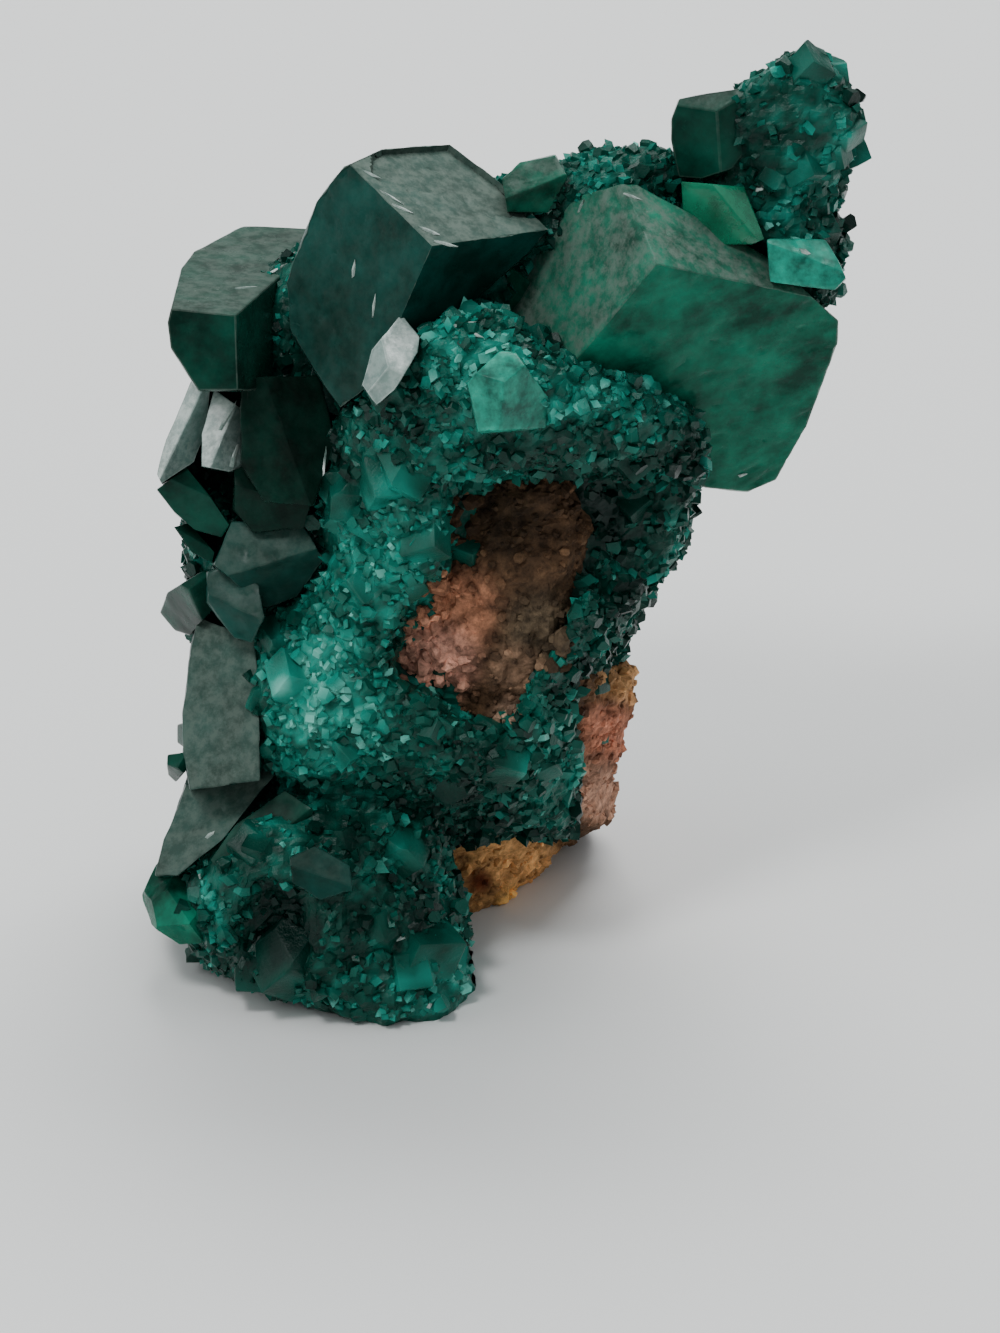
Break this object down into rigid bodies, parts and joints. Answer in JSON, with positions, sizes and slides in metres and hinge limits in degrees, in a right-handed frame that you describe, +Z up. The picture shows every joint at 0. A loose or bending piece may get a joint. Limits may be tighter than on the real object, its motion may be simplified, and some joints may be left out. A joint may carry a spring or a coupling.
{
  "type": "dioptase mineral specimen",
  "caption": "Upright natural cluster of emerald green dioptase crystals with blunt three-faced tips, grown over a brown matrix rock with a flat foot.",
  "frame": {"origin": "bottom centre of the bounding box, on the surface that the specimen rests on", "axes": "+Z up, as the specimen stands; -Y towards the viewer of the display side; +X to the right as seen from there"},
  "size_m": [0.0292, 0.019, 0.0397],
  "materials": {
    "dioptase": "glassy, emerald green",
    "matrix": "rough, earthy, brown to pinkish tan"
  },
  "bodies": {
    "root": {"dioptase_crystals": "dioptase", "matrix_rock": "matrix"}
  },
  "joints": []
}
